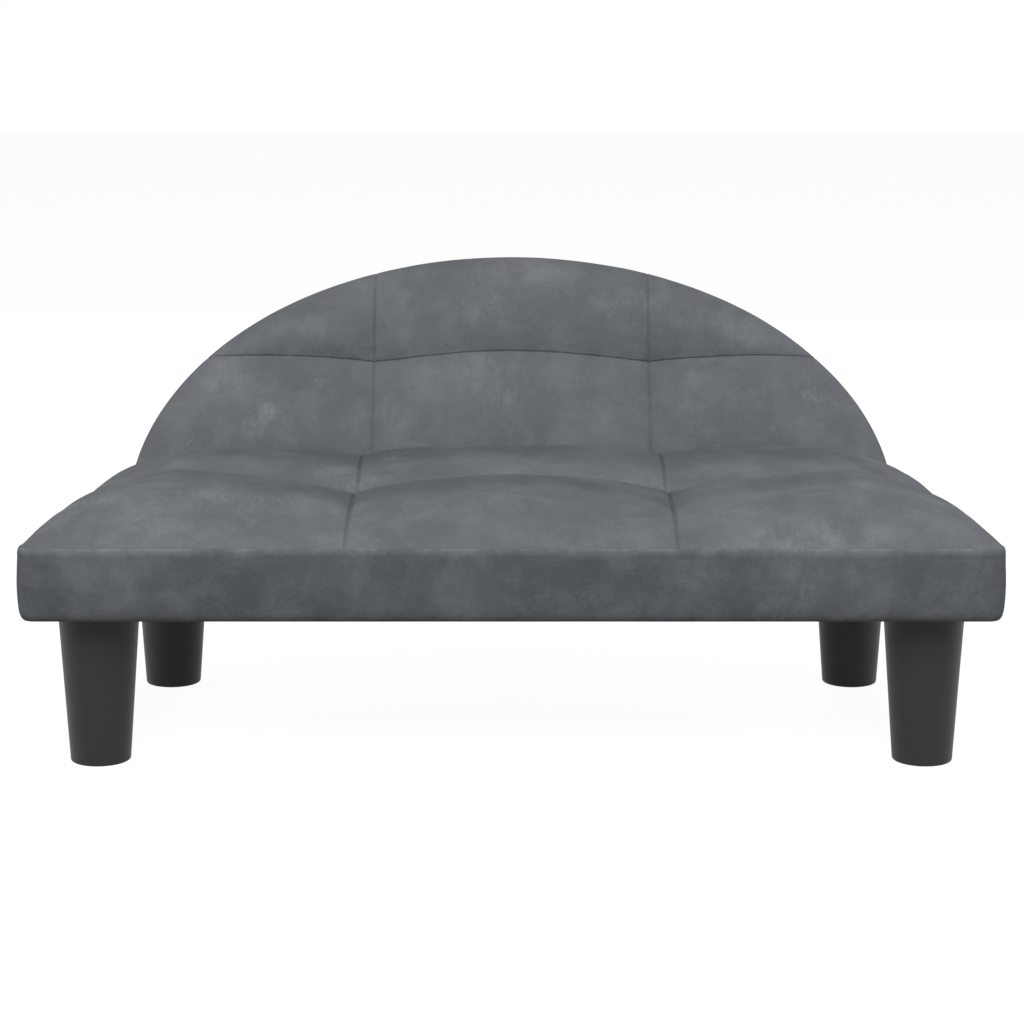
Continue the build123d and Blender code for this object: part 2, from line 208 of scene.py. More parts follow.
def fan(ring, pole):
    """Triangles from a ring of point numbers to the number of a pole, facing as its wall."""
    return np.stack([ring, np.full(len(ring), pole), np.roll(ring, -1)], 1)


def closed_pad(grid, rings, pole):
    """Points and faces of a pad, refined: a grid on top, rings of points down its wall, and
    a pole."""
    grid, rings = refine_grid(grid), [refine(ring, True) for ring in rings]
    rows, columns = grid.shape[:2]
    faces = [*grid_faces(rows, columns)]
    above, start = rim_of(rows, columns), rows * columns
    for ring in rings:
        below = start + np.arange(len(ring))
        faces.extend(wall_faces(above, below))
        above, start = below, start + len(ring)
    faces.extend(fan(above, start))
    return np.concatenate([grid.reshape(-1, 3), *rings, pole[None]]), faces


def closed_band(rings):
    """Points and faces of a hollow band, refined: rings down its outer side and up its inner
    side."""
    rings = refine_grid(np.stack(rings), True)
    numbers = np.arange(rings.size // 3).reshape(rings.shape[:2])
    faces = [wall_faces(*pair) for pair in zip(numbers, np.roll(numbers, -1, 0))]
    return rings.reshape(-1, 3), np.concatenate(faces)


def refine(points, closed):
    """Twice the points along the first axis, on a smooth curve: an eighth, six eighths and an
    eighth of three neighbours at each old point, and the middle of two between them."""
    before, after = np.roll(points, 1, 0), np.roll(points, -1, 0)
    old = (before + 6 * points + after) / 8
    new = (points + after) / 2
    if not closed:
        old[0], old[-1] = points[0], points[-1]
    made = np.stack([old, new], 1).reshape(-1, *points.shape[1:])
    return made if closed else made[:-1]


def refine_grid(grid, closed=False):
    """A grid with twice the points along both axes, as a subdivision surface would make it;
    closed grids run round in both axes, as a band's rings do."""
    rows = refine(grid, closed)
    return refine(rows.swapaxes(0, 1), closed).swapaxes(0, 1)


# %% [markdown]
# ## Stuffing that pushes the cloth out
#
# The cloth is held down along its seams, and the foam pushes it outwards. It could be puffed
# by a formula alone, but then every cell would be perfect. A short cloth simulation, with
# pressure for the foam and no gravity, lets it find its own small folds. How far a point may
# move is capped, so the seams stay where they are.

# %% Simulate a sewn panel under pressure
def settle(grid, held, pressure, cap, frames=20):
    """The grid after a cloth simulation, each point moved no further than the cap.
    Its pull back to the cap is a smooth one: the cap times the tanh of the way over it."""
    rows, columns = grid.shape[:2]
    mesh = bpy.data.meshes.new("cloth trial")
    mesh.from_pydata(grid.reshape(-1, 3), [], grid_faces(rows, columns).tolist())
    trial = add_object("cloth trial", mesh)
    pins = trial.vertex_groups.new(name="sewn")
    pins.add(np.flatnonzero(held).tolist(), 1.0, "REPLACE")
    cloth = trial.modifiers.new("cloth", "CLOTH")
    settings = cloth.settings
    settings.quality, settings.mass = 6, 0.08
    settings.tension_stiffness = settings.compression_stiffness = 15
    settings.shear_stiffness, settings.bending_stiffness = 5, 0.5
    settings.use_pressure, settings.uniform_pressure_force = True, pressure
    settings.vertex_group_mass = "sewn"
    settings.effector_weights.gravity = 0
    cloth.point_cache.frame_start, cloth.point_cache.frame_end = 1, frames
    for step in range(1, frames + 1):
        bpy.context.scene.frame_set(step)
    evaluated = trial.evaluated_get(bpy.context.evaluated_depsgraph_get())
    settled = np.empty(rows * columns * 3, np.float32)
    evaluated.data.vertices.foreach_get("co", settled)
    bpy.data.objects.remove(trial)
    bpy.context.scene.frame_set(1)
    way = settled.reshape(grid.shape).astype(float) - grid
    far = np.linalg.norm(way, axis=2, keepdims=True) + 1e-9
    print("cloth moved", in_mm(far.max()), "mm before the cap")
    return grid + way / far * cap * np.tanh(far / cap)


# %% [markdown]
# ## The seat's quilted top
#
# The top of the seat is one panel of suede, sewn through the foam along two channels and
# one cross seam into six stuffed cells. It could be six cushions, but the cloth runs on from
# cell to cell, so it is one surface. Its height is a formula of the place in a cell: the
# seams' heights first, then the stuffing that swells between them.

# %% Lay out the seat in plan
seat_columns, seat_rows = 52, 40


def corner_shifts(radius, in_x, in_y):
    """How far places in a corner's square move inwards, both ways, to make it a quarter
    disc: the radius times the share of the square that way, times 1 less the root of 1
    less half the other share squared."""
    return [radius * a * (1 - np.sqrt(1 - b**2 / 2)) for a, b in ((in_x, in_y), (in_y, in_x))]


def seat_plan(across, along, inset):
    """Plan of the seat, a trapezium with round corners, from shares across and along it."""
    y = front_y + inset + (seat_depth - 2 * inset) * along
    slope = (seat_front_half - seat_rear_half) / seat_depth
    half = seat_front_half - slope * (y - front_y) - inset
    side, channel = np.abs(across), seat_channel_x
    x = np.where(side < 1, channel * side, channel + (half - channel) * (side - 1))
    radius = seat_corner - inset
    in_x = np.clip(1 - (half - x) / radius, 0, 1)
    from_end = np.minimum(y - front_y - inset, rear_y - inset - y)
    in_y = np.clip(1 - from_end / radius, 0, 1)
    shift_x, shift_y = corner_shifts(radius, in_x, in_y)
    y = y + np.where(along < 0.5, shift_y, -shift_y)
    return (x - shift_x) * np.sign(across), y


def across_cells(count):
    """Places across three cells, from -2 to 2, with the channels at -1 and 1."""
    columns = spread(count)
    return np.concatenate([columns[:-1] - 2, 2 * columns[:-1] - 1, 1 + columns])


def on_line(places, line):
    """Which places of a grid are on a sewn line."""
    return np.abs(places - line) < 1e-9


rows = spread(seat_rows)
seat_across = across_cells(seat_columns)
seat_along = np.concatenate([rows[:-1] / 2, (1 + rows) / 2])
seat_u, seat_v = np.meshgrid(seat_across, seat_along)
print("seat panel has", seat_u.size, "points")


# %% Work out the height of the stuffing
def row_height(share, edge, inner, top, power=3.0):
    """Height over a row of cells: a ramp from its outer seam to the middle seam, and the
    stuffing on it, a pillow up to the top."""
    return edge + (inner - edge) * share + (top - (edge + inner) / 2) * pillow(share, power)


def fold(x, y, start, end, depth, width):
    """A soft crease along a line, from numbers in millimetres: a bell curve of the distance
    from the line, which fades out at its ends as another does."""
    start, end = np.array(start) * mm, np.array(end) * mm
    run = end - start
    length = np.linalg.norm(run)
    along = ((x - start[0]) * run[0] + (y - start[1]) * run[1]) / length**2
    off = ((x - start[0]) * run[1] - (y - start[1]) * run[0]) / length
    ends = bell(np.clip(np.abs(along - 0.5) - 0.3, 0, None), 0.18)
    return -depth * mm * bell(off, width * mm) * ends


def seat_height():
    """Height of the seat's top over its seam, from shares of each cell: the seams' heights,
    and over them the way up to the cell's crest times a swell across the cell."""
    rear, side = seat_v > 0.5, np.abs(seat_u)
    outer = side > 1
    crown = np.where(rear, *(np.where(outer, *row) for row in seat_crowns)) * mm
    rise = np.where(rear, *seat_channel_rises)
    channel = row_height(to_cross, 0, seat_crossing_rise, rise)
    crest = row_height(to_cross, 0, seat_cross_rise, crown)
    from_edge = np.clip(2 - side, 0, 1)
    seams = np.where(outer, channel * from_edge, channel)
    middle = np.where(outer, channel / 2, channel)
    outer_swell = swell(from_edge ** np.where(rear, 0.65, 0.73), 1.27)
    return seams + (crest - middle) * np.where(outer, outer_swell, swell((side + 1) / 2))


x, y = seat_plan(seat_u, seat_v, seat_panel_inset)
to_cross = 1 - np.abs(2 * seat_v - 1)
seat_rise = seat_height()
seat_top = np.stack([x, y, seat_seam + before_settling * seat_rise], 2)
seat_edge = (np.abs(seat_u) == 2) | (seat_v == 0) | (seat_v == 1)
seat_channel = on_line(np.abs(seat_u), 1) | on_line(seat_v, 0.5)
print("stuffing stands", in_mm(seat_rise.max()), "mm over the seam")

# %% Let the cloth settle, then press the seams in
seat_top = settle(seat_top, seat_edge | seat_channel, pressure=8.0, cap=2.5 * mm)
x, y = seat_top[..., 0], seat_top[..., 1]
lumps = 0.9 * mm * unevenness(x, y, 95 * mm, 14, 3) + 0.25 * mm * unevenness(x, y, 28 * mm, 16, 4)
seat_folds = (
    ((236, -128), (290, -118), 0.8, 5), ((-60, -96), (40, -92), 0.6, 7),
    ((150, -52), (190, -66), 0.7, 5), ((-180, -62), (-140, -50), 0.7, 5),
    ((-40, 64), (60, 70), 0.6, 6),
)
seat_top[..., 2] += swell(to_cross / 2) * lumps + sum(fold(x, y, *line) for line in seat_folds)
seat_top[..., 2] += puckers(x, y, seat_channel_x, middle_y, 5)
seam_pull = 2.0 * mm
seat_top[..., 2] += seam_pull * (1 - np.exp(-seat_rise / (6 * mm)))
seat_top[seat_channel & ~seat_edge, 2] -= seam_pull
print("top of the seat at", in_mm(seat_top[..., 2].max()), "mm")

# %% Close the seat cushion down to the deck
rim_u, rim_v = on_rim(seat_u, seat_v)
seat_rings = []
for inset, base, height, share_x, share_y in (
    (3.2, seat_seam, -3.0, 1, 1), (5.6, seat_seam, -8.0, 1, 1), (5.6, deck_top, 8.0, 1, 1),
    (12.0, deck_top, 0.4, 1, 1), (12.0, deck_top, 0.4, 0.4, 0.3),
):
    x, y = seat_plan(rim_u, rim_v, inset * mm)
    y = middle_y + share_y * (y - middle_y)
    seat_rings.append(np.stack([share_x * x, y, np.full_like(x, base + height * mm)], 1))
pole = np.array([0, middle_y, deck_top + 0.4 * mm])
seat_cushion = add_piece("seat_cushion", *closed_pad(seat_top, seat_rings, pole), "upholstery")
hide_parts("seat_quilt", "seat_foam")

# %% [markdown]
# ## The band round the seat
#
# A padded band of the same cloth goes round the frame. It is sewn to the top, topstitched
# just under the seam, and wraps round the frame's lower edge. It could be a plain extrusion,
# but padding makes it fuller at mid height, pulled in at the topstitch and rounded below, so
# a profile with those shapes is carried round the plan.

# %% Carry a profile round an outline
def outward(loop):
    """Unit normals of a closed anticlockwise loop in plan: its tangent turned clockwise."""
    run = unit(np.roll(loop, -1, 0) - np.roll(loop, 1, 0))
    return np.stack([run[:, 1], -run[:, 0]], 1)


def length_along(loop):
    """Distance of each point of a closed loop from its first point, and the whole way."""
    steps = np.linalg.norm(np.roll(loop, -1, 0) - loop, axis=1)
    return np.concatenate([[0], np.cumsum(steps)[:-1]]), steps.sum()


def ripple(loop, reach, seed):
    """Uneven gathers along a closed loop, between about -1 and 1: a sum of sine waves that
    each make a whole number of turns, so that they meet at the loop's ends."""
    waves = 12
    place, whole = length_along(loop)
    draw = np.random.default_rng(seed)
    turns = np.round(whole / (reach * draw.uniform(0.6, 1.8, waves)))
    phase = draw.uniform(0, 2 * np.pi, waves)
    along = 2 * np.pi * turns * place[:, None] / whole
    return np.sin(along + phase).sum(1) / np.sqrt(2 * waves)


def carry(profile, loop, gathers, waves, gathered):
    """For each point of a profile, which is its way out and its depth in millimetres and how
    loose the cloth is there, the loop moved out to it, its depth and its looseness. Loose
    cloth also moves out by the waves, and by the gathers above the depth gathered."""
    normal = outward(loop)
    for out, depth, loose in profile:
        away = out * mm + loose * (gathers * (depth > gathered) + waves)
        yield loop + normal * away[:, None], depth, loose


seat_loop = np.stack(seat_plan(rim_u, rim_v, 0), 1)
seat_normal = outward(seat_loop)
print("the seat's outline is", round(length_along(seat_loop)[1], 3), "m long")

# %% Make the seat band
topstitch_drop = 6.8 * mm
band_profile = (
    (-2.6, -0.5, 0), (-2.1, 0.25, 0.2), (-1.5, 0.3, 0.3), (-0.95, -0.1, 0.4),
    (-0.45, -0.9, 0.4), (-0.1, -2.1, 0.4), (0.08, -3.8, 0.3), (0, -6, 0.1),
    (-0.07, -6.8, 0), (0.03, -7.5, 0.1), (0.15, -9, 0.4), (0.35, -14, 0.7),
    (0.6, -21, 0.8), (0.65, -28, 0.8), (0.45, -35, 0.8), (0, -41, 0.6),
    (-0.5, -45.5, 0.5), (-1.3, -48.8, 0.4), (-2.5, -51.2, 0.3), (-4, -52.5, 0.2),
    (-5.2, -52.9, 0.1), (-5.6, -52, 0), (-5, -50, 0), (-5, -28, 0),
    (-5, -3.5, 0), (-3.4, -1.8, 0),
)
gathers, waves = ripple(seat_loop, 10 * mm, 11), ripple(seat_loop, 120 * mm, 12)
loosened = 0.25 * mm * gathers, 0.5 * mm * waves
band_rings = []
for ring, drop, loose in carry(band_profile, seat_loop, *loosened, -20):
    height = seat_seam + drop * mm + loose * 0.2 * mm * gathers * (drop > -4)
    band_rings.append(np.column_stack([ring, height]))
seat_band = add_piece("seat_band", *closed_band(band_rings), "upholstery")
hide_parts("seat_border")

# %% [markdown]
# ## The backrest's quilted front
#
# The backrest is half an ellipse with the same quilting, and its cells are trimmed by a
# crowned rim along the arch. A grid in polar form would fit the arch best, but no line of
# it would follow the channels. So the grid stays three columns by two rows, and only the
# two upper outer cells are bent into quarter discs that end on the arch.

# %% Lay out the backrest in its own plane
back_columns, back_rows = 46, 36


def arch(place, half, other_half):
    """How far an ellipse reaches at a place along one axis: the other half axis times the
    root of 1 less the square of the place over its half axis."""
    return other_half * np.sqrt(np.clip(1 - (place / half) ** 2, 0, None))


def back_plan(across, up, inset):
    """Places on the backrest's plane, across it and up it, from shares of its cells: from
    channel to arch, from cross seam to arch, and in the upper outer cells along rays to
    where each meets the arch, the root of a quadratic."""
    wide, tall = back_half - inset, back_height - inset
    channel, cross = back_channel_x, back_cross_s
    side = np.abs(across)
    out = np.clip(side - 1, 0, 1)
    low = inset + (cross - inset) * np.minimum(up, 1)
    edge = arch(low, tall, wide)
    x = np.where(side < 1, channel * side, channel + (edge - channel) * out)
    top = arch(np.minimum(x, channel), wide, tall)
    higher = np.clip(up - 1, 0, 1)
    s = np.where((up > 1) & (side <= 1), cross + (top - cross) * higher, low)
    reach_x = arch(cross, tall, wide) - channel
    reach_s = arch(channel, wide, tall) - cross
    p = out * np.sqrt(1 - higher**2 / 2)
    q = higher * np.sqrt(1 - out**2 / 2)
    share = np.hypot(p, q) + 1e-12
    run_x, run_s = p * reach_x / share, q * reach_s / share
    a = (run_x / wide) ** 2 + (run_s / tall) ** 2
    b = channel * run_x / wide**2 + cross * run_s / tall**2
    c = (channel / wide) ** 2 + (cross / tall) ** 2 - 1
    reach = (np.sqrt(b**2 - a * c) - b) / (a + 1e-12)
    corner = (up > 1) & (side > 1)
    x = np.where(corner, channel + share * reach * run_x, x)
    s = np.where(corner, cross + share * reach * run_s, s)
    radius = back_foot_corner - min(inset, 6 * mm)
    in_x = np.where(up < 1, np.clip(1 - (edge - x) / radius, 0, 1), 0)
    in_s = np.clip(1 - (s - inset) / radius, 0, 1)
    shift_x, shift_s = corner_shifts(radius, in_x, in_s)
    return (x - shift_x) * np.sign(across), s + shift_s


def lift_seam(x, s):
    """The same places after stuffing draws up the cross seam between the channels: a bump
    across each cell, times a smooth step up to the seam and down again. Places beside the
    channels slide along, so that the arch keeps its line."""
    start, above, outer_width = 30 * mm, 55 * mm, 156 * mm
    side = np.abs(x)
    inner = np.clip(1 - side / back_channel_x, 0, 1)
    bump = 0.65 * np.sin(np.pi * inner / 2) ** 2 + 0.35 * inner * (2 - inner)
    outer = np.clip((side - back_channel_x) / outer_width, 0, 1)
    rises = back_seam_lifts[0] * bump, back_seam_lifts[1] * outer * (2 - outer)
    rise = np.where(side < back_channel_x, *rises)
    below_seam = (s - start) / (back_cross_s - start)
    over_seam = 1 - (s - back_cross_s) / above
    step = np.clip(np.where(s < back_cross_s, below_seam, over_seam), 0, 1)
    lifted = s + rise * step**2 * (3 - 2 * step)
    old_edge, new_edge = (arch(place, back_height, back_half) for place in (s, lifted))
    slide = (new_edge - back_channel_x) / np.maximum(old_edge - back_channel_x, 5 * mm)
    moved = back_channel_x + (side - back_channel_x) * slide
    beside = (side > back_channel_x) & (step > 0)
    return np.where(beside, np.sign(x) * moved, x), lifted


def back_place(x, s, out):
    """Points in the room from places across, up and out of the backrest's plane."""
    x, s, out = np.broadcast_arrays(x, s, out)
    side = np.stack([x, np.zeros_like(x), np.zeros_like(x)], -1)
    return back_base + side + s[..., None] * back_up + out[..., None] * back_out


rows = spread(back_rows)
back_u, back_v = np.meshgrid(across_cells(back_columns), np.concatenate([rows[:-1], 1 + rows]))
back_x, back_s = back_plan(back_u, back_v, back_panel_inset)
print("backrest panel has", back_u.size, "points")


# %% Work out the height of the backrest's stuffing
def arch_inset(x, s):
    """How far inside the arch a place is: the inset whose smaller ellipse passes through
    it, found by halving an interval many times."""
    halvings = 30
    low, high = np.zeros_like(x), np.full_like(x, back_height * 0.98)
    for _ in range(halvings):
        middle = (low + high) / 2
        inside = (x / (back_half - middle)) ** 2 + (s / (back_height - middle)) ** 2 < 1
        low, high = np.where(inside, middle, low), np.where(inside, high, middle)
    return low


def back_height_at(x, s):
    """Height of the front over the backrest's plane: cells as on the seat, a crowned rim
    along the arch and a flat part against the seat, the lowest of the three."""
    reach, low, power = 30 * mm, 2 * mm, 2.7
    lower = (s + reach) / (back_cross_s + reach)
    upper = (back_height + reach - s) / (back_height + reach - back_cross_s)
    row = np.clip(np.where(s < back_cross_s, lower, upper), 0, 1)
    channel = row_height(row, low, back_crossing_rise, back_channel_rise, power)
    crest = row_height(row, low, back_cross_rise, back_crown, power)
    side = np.abs(x)
    outer = side > back_channel_x
    wide = back_half + reach
    from_arch = (wide - side) / (wide - back_channel_x)
    cell = np.where(outer, from_arch, (side / back_channel_x + 1) / 2)
    seams = np.where(outer, low + (channel - low) * cell, channel)
    middle = np.where(outer, (low + channel) / 2, channel)
    cells = seams + (crest - middle) * pillow(cell, 3.5)
    rim = (back_crown + 4 * mm) * swell(np.clip(arch_inset(x, s) / back_rim_width, 0, 1) / 2, 2)
    height = soft_least(cells, rim, 4 * mm)
    return np.minimum(height, s * np.tan(lean) + 0.1 * mm)


back_rise = np.clip(back_height_at(back_x, back_s), 0, None)
back_edge = (np.abs(back_u) == 2) | (back_v == 0) | (back_v == 2)
back_channel = on_line(np.abs(back_u), 1) | on_line(back_v, 1)
pressed = back_rise > back_s * np.tan(lean) - 0.3 * mm
print("backrest's stuffing stands", in_mm(back_rise.max()), "mm")

# %% Let the backrest's cloth settle and press its seams in
back_front = back_place(*lift_seam(back_x, back_s), before_settling * back_rise)
back_front = settle(back_front, back_edge | back_channel | pressed, pressure=6.0, cap=2.0 * mm)
loose = np.clip((back_s - 20 * mm) / (30 * mm), 0, 1) * np.clip(back_rise / (8 * mm), 0, 1)
lumps = 0.8 * mm * unevenness(back_x, back_s, 90 * mm, 14, 21)
lumps += 0.25 * mm * unevenness(back_x, back_s, 26 * mm, 16, 22)
push = loose * lumps + puckers(back_x, back_s, back_channel_x, back_cross_s, 23)
push += 1.2 * mm * (1 - np.exp(-back_rise / (1.5 * mm)))
push[back_channel & ~back_edge] -= 1.35 * mm
push[back_edge] -= 1.3 * mm
back_front += push[..., None] * back_out
print("top of the backrest at", in_mm(back_front[..., 2].max()), "mm")

# %% Close the backrest cushion
rim_u, rim_v = on_rim(back_u, back_v)
board_front = -back_thickness + 10 * mm
back_rings = []
for inset, depth, share in (
    (2.4, -3 * mm, 1), (5.6, -7 * mm, 1), (5.6, board_front + 6 * mm, 1),
    (6.0, board_front + clear, 0.96), (6.0, board_front + clear, 0.4),
):
    x, s = back_plan(rim_u, rim_v, inset * mm)
    s = back_middle_s + share * (s - back_middle_s)
    back_rings.append(back_place(share * x, s, depth))
pole = back_place(0.0, back_middle_s, board_front + clear)
back_cushion = add_piece("back_cushion", *closed_pad(back_front, back_rings, pole), "upholstery")
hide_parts("back_quilt", "back_foam")

# %% Make the band round the backrest
back_loop = np.stack(back_plan(rim_u, rim_v, 0), 1)
back_profile = (
    (-1.7, -1.6, 0), (-1, -0.35, 0.4), (-0.45, -0.9, 0.5), (0, -3, 0.6),
    (0.35, -8, 0.8), (0.6, -15, 0.9), (0.7, -23, 0.9), (0.6, -31, 0.8),
    (0.2, -37.5, 0.6), (-0.5, -41.3, 0.4), (-1.6, -43.8, 0.3), (-3.2, -44.9, 0.1),
    (-4.6, -45, 0), (-5.4, -44.3, 0), (-5.2, -43, 0), (-5.1, -23, 0),
    (-5.1, -3.5, 0), (-3.4, -1.8, 0),
)
gathers, waves = ripple(back_loop, 10 * mm, 31), ripple(back_loop, 110 * mm, 32)
loosened = 0.2 * mm * gathers, 0.35 * mm * waves
rings = carry(back_profile, back_loop, *loosened, -10)
band_rings = [back_place(*ring.T, depth * mm) for ring, depth, _ in rings]
back_band = add_piece("back_band", *closed_band(band_rings), "upholstery")
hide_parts("back_border")

# %% Make the flat cloth panel on the back
panel_rings = []
for inset, depth in ((5.7, -44.2), (5.7, -44.4), (5.9, -45.0), (7.0, -45.15), (30.0, -45.0)):
    x, s = back_plan(rim_u, rim_v, inset * mm)
    panel_rings.append(back_place(x, s, depth * mm))
poles = [back_place(0.0, back_middle_s, depth * mm)[None] for depth in (-45.0, -44.2)]
count = len(rim_u)
last = len(panel_rings) * count
numbers = np.arange(last).reshape(-1, count)
faces = [*np.concatenate([wall_faces(*pair) for pair in zip(numbers, numbers[1:])])]
faces.extend(fan(numbers[-1], last))
faces.extend(fan(numbers[0], last + 1)[:, ::-1])
points = np.concatenate([*panel_rings, *poles])
back_panel = add_piece("back_panel", points, faces, "upholstery")
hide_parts("back_cover")

# %% [markdown]
# ## Stitches
#
# The seams are sewn with a thick thread in stitches a few millimetres long. A painted dash
# would look the same from far off, but a real stitch stands on the cloth and dives into it
# at both ends, so each is a little bent rod on the line that the machine followed. Those of
# the channels are sunk, and a last line joins the front cover to the band along the arch.
# These sunk lines are real stitches in thread painted dark, as the shade in their grooves.

# %% Sew a line of stitches along a path
def at_distances(at, place, path):
    """Points of a path at distances along it, between points whose distances are known."""
    return np.stack([np.interp(at, place, path[:, k]) for k in range(3)], -1)


def sew(path, normal, closed, pitch=3.6 * mm, share=0.8, radius=0.32 * mm):
    """Points and faces of stitches along a path: rods whose height over the cloth is a sine
    of the way along them. The share is that of the pitch that a stitch takes up."""
    normal = np.broadcast_to(normal, path.shape)
    if closed:
        path, normal = np.vstack([path, path[:1]]), np.vstack([normal, normal[:1]])
    steps = np.linalg.norm(np.diff(path, axis=0), axis=1)
    place = np.concatenate([[0], np.cumsum(steps)])
    count = int(place[-1] / pitch)
    thick = radius * np.array([0.55, 0.95, 1.0, 0.95, 0.55])
    slices, sides = len(thick), 6
    along = np.linspace(0, 1, slices)
    at = (np.arange(count)[:, None] + 0.5 + share * (along - 0.5)) * place[-1] / count
    line, up = at_distances(at, place, path), unit(at_distances(at, place, normal))
    side = np.cross(unit(np.gradient(line, axis=1)), up)
    rise = radius * (1.3 * np.sin(np.pi * along) - 0.7)
    turn = np.arange(sides) * 2 * np.pi / sides
    ring = np.cos(turn)[:, None] * side[:, :, None] + np.sin(turn)[:, None] * up[:, :, None]
    points = (line + up * rise[:, None])[:, :, None] + ring * thick[:, None, None]
    one = np.arange(slices * sides).reshape(slices, sides)
    low, high = one[:-1], one[1:]
    quads = np.stack([low, high, np.roll(high, -1, 1), np.roll(low, -1, 1)], -1)
    base = np.arange(count)[:, None, None] * one.size
    quads = (base + quads.reshape(1, -1, 4)).reshape(-1, 4)
    ends = (base + np.stack([one[0], one[-1, ::-1]])).reshape(-1, sides)
    return points.reshape(-1, 3), [*quads, *ends]


stitch_z = np.full(len(seat_loop), seat_seam - topstitch_drop)
line = np.column_stack([seat_loop - 0.12 * mm * seat_normal, stitch_z])
made = sew(line, np.column_stack([seat_normal, 0 * stitch_z]), True, radius=0.24 * mm)
add_piece("seat_topstitch", *made, "upholstery")

# %% Sew the channels and the backrest's two round seams
def sew_channels(name, grid, columns_each, rows_each, up):
    """Stitches, a little sunk, along the channels and the cross seam of a quilted grid, less
    the ends of each line."""
    points, faces, fade = [], [], 4
    for line in (grid[:, columns_each], grid[:, 2 * columns_each], grid[rows_each]):
        sunk = line[fade:-fade] - 0.1 * mm * up
        made, quads = sew(sunk, up, False, share=0.95, radius=0.34 * mm)
        faces.extend([q + sum(map(len, points)) for q in quads])
        points.append(made)
    add_piece(name, np.concatenate(points), faces, "upholstery")


straight_up = np.array([0, 0, 1.0])
sew_channels("seat_channel_stitches", seat_top, seat_columns, seat_rows, straight_up)
sew_channels("back_channel_stitches", back_front, back_columns, back_rows, back_out)
ring = back_place(*back_plan(rim_u, rim_v, 8 * mm), -45.1 * mm)
add_piece("back_panel_stitches", *sew(ring, -back_out, True), "upholstery")
# The arch's seam is sewn in the thread painted dark, which stands for the shade in its groove.
x, s = back_plan(rim_u, rim_v, 1.1 * mm)
ring = back_place(x, s, -0.5 * mm)[s > 25 * mm]
start = int(np.argmax(np.linalg.norm(np.diff(ring, axis=0), axis=1))) + 1
made = sew(np.roll(ring, -start, 0), back_out, False, share=0.95, radius=0.4 * mm)
add_piece("arch_seam_stitches", *made, "upholstery")

# %% [markdown]
# ## The cloth under the seat
#
# A thin black cloth closes the seat from below. Its edge is folded in and stapled to the
# frame. A flat plate could stand for it, but a stretched cloth sags a little and has a hem,
# so it is a thin sheet.

# %% Stretch the dust sheet and staple it
sheet_u, sheet_v = np.meshgrid(seat_across[::2], seat_along[::2])
sheet_inset, sheet_rise = 5.7 * mm, 0.55 * mm
x, y = seat_plan(sheet_u, sheet_v, sheet_inset)
end_gap = np.minimum(y - front_y, rear_y - y)
edge_gap = np.minimum(end_gap, seat_front_half - np.abs(x)) - sheet_inset
hem = 0.35 * mm * np.exp(-(((edge_gap - 4 * mm) / (5 * mm)) ** 4))
sag = 0.15 * mm * unevenness(x, y, 60 * mm, 12, 41) * np.clip(edge_gap / (20 * mm), 0, 1)
sheet = np.stack([x, y, seat_floor + sheet_rise - hem + sag], 2).reshape(-1, 3)
quads = grid_faces(*sheet_u.shape)[:, ::-1]
dust_sheet = add_piece("dust_sheet", sheet, quads, "lining")
thick = dust_sheet.modifiers.new("thickness", "SOLIDIFY")
thick.thickness, thick.offset = 0.35 * mm, -1
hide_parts("dust_cover")
x, y = sheet[rim_of(*sheet_u.shape), :2].T

# %% Drive in the staples
count, staple_inset, staple_rise = 72, 12 * mm, 0.05 * mm
x, y = seat_plan(*on_rim(seat_u, seat_v), staple_inset)
ring = np.column_stack([x, y, np.full(len(x), seat_floor + staple_rise)])
steps, whole = length_along(ring)
place, closed = np.append(steps, whole), np.vstack([ring, ring[:1]])
at = (np.arange(count) + 0.5) * whole / count
middle = at_distances(at, place, closed)
run = unit(at_distances(at + 1 * mm, place, closed) - middle)
side = np.cross(run, straight_up)
points = [
    middle + run * (reach * mm) + side * (width * mm) + straight_up * (drop * mm)
    for width in (-0.6, 0.6)
    for reach, drop in ((-5, 0), (-4.6, -0.55), (4.6, -0.55), (5, 0))
]
points = np.stack(points, 1).reshape(-1, 3)
one = (0, 1, 5, 4), (1, 2, 6, 5), (2, 3, 7, 6), (3, 0, 4, 7), (3, 2, 1, 0), (4, 5, 6, 7)
faces = (np.arange(count)[:, None, None] * 8 + np.array(one)).reshape(-1, 4)
add_piece("staples", points, faces, "zinc", smooth=False)
print("drove", count, "staples")

# %% [markdown]
# ## Finishes
#
# Every finish is a small formula of the place on the piece. Its nodes could be wired up one
# by one, but a long sum is hard to read so. A class wraps a socket instead, and masks are
# added and multiplied as plain Python numbers are.

# %% A finish, and values that carry their own maths
def sum_of(operation):
    """A method that puts values through a Math node of the operation."""
    return lambda value, *others: value.math(operation, *others)


class Value:
    """A socket of a node tree, with the sums that the finishes below use."""

    __add__ = __radd__ = sum_of("ADD")
    __mul__ = __rmul__ = sum_of("MULTIPLY")
    __sub__, __abs__ = sum_of("SUBTRACT"), sum_of("ABSOLUTE")

    def __init__(self, tree, socket):
        self.tree, self.socket = tree, socket

    def math(self, operation, *others):
        sockets = dict(enumerate([self, *others]))
        return self.tree.node("ShaderNodeMath", {"operation": operation}, sockets)

    def __rsub__(self, other):
        return self * -1 + other

    def between(self, low, high):
        """0 under low, 1 over high, and a smooth step from one to the other."""
        sockets = {"Value": self, "From Min": low, "From Max": high}
        return self.tree.node("ShaderNodeMapRange", {"interpolation_type": "SMOOTHSTEP"}, sockets)


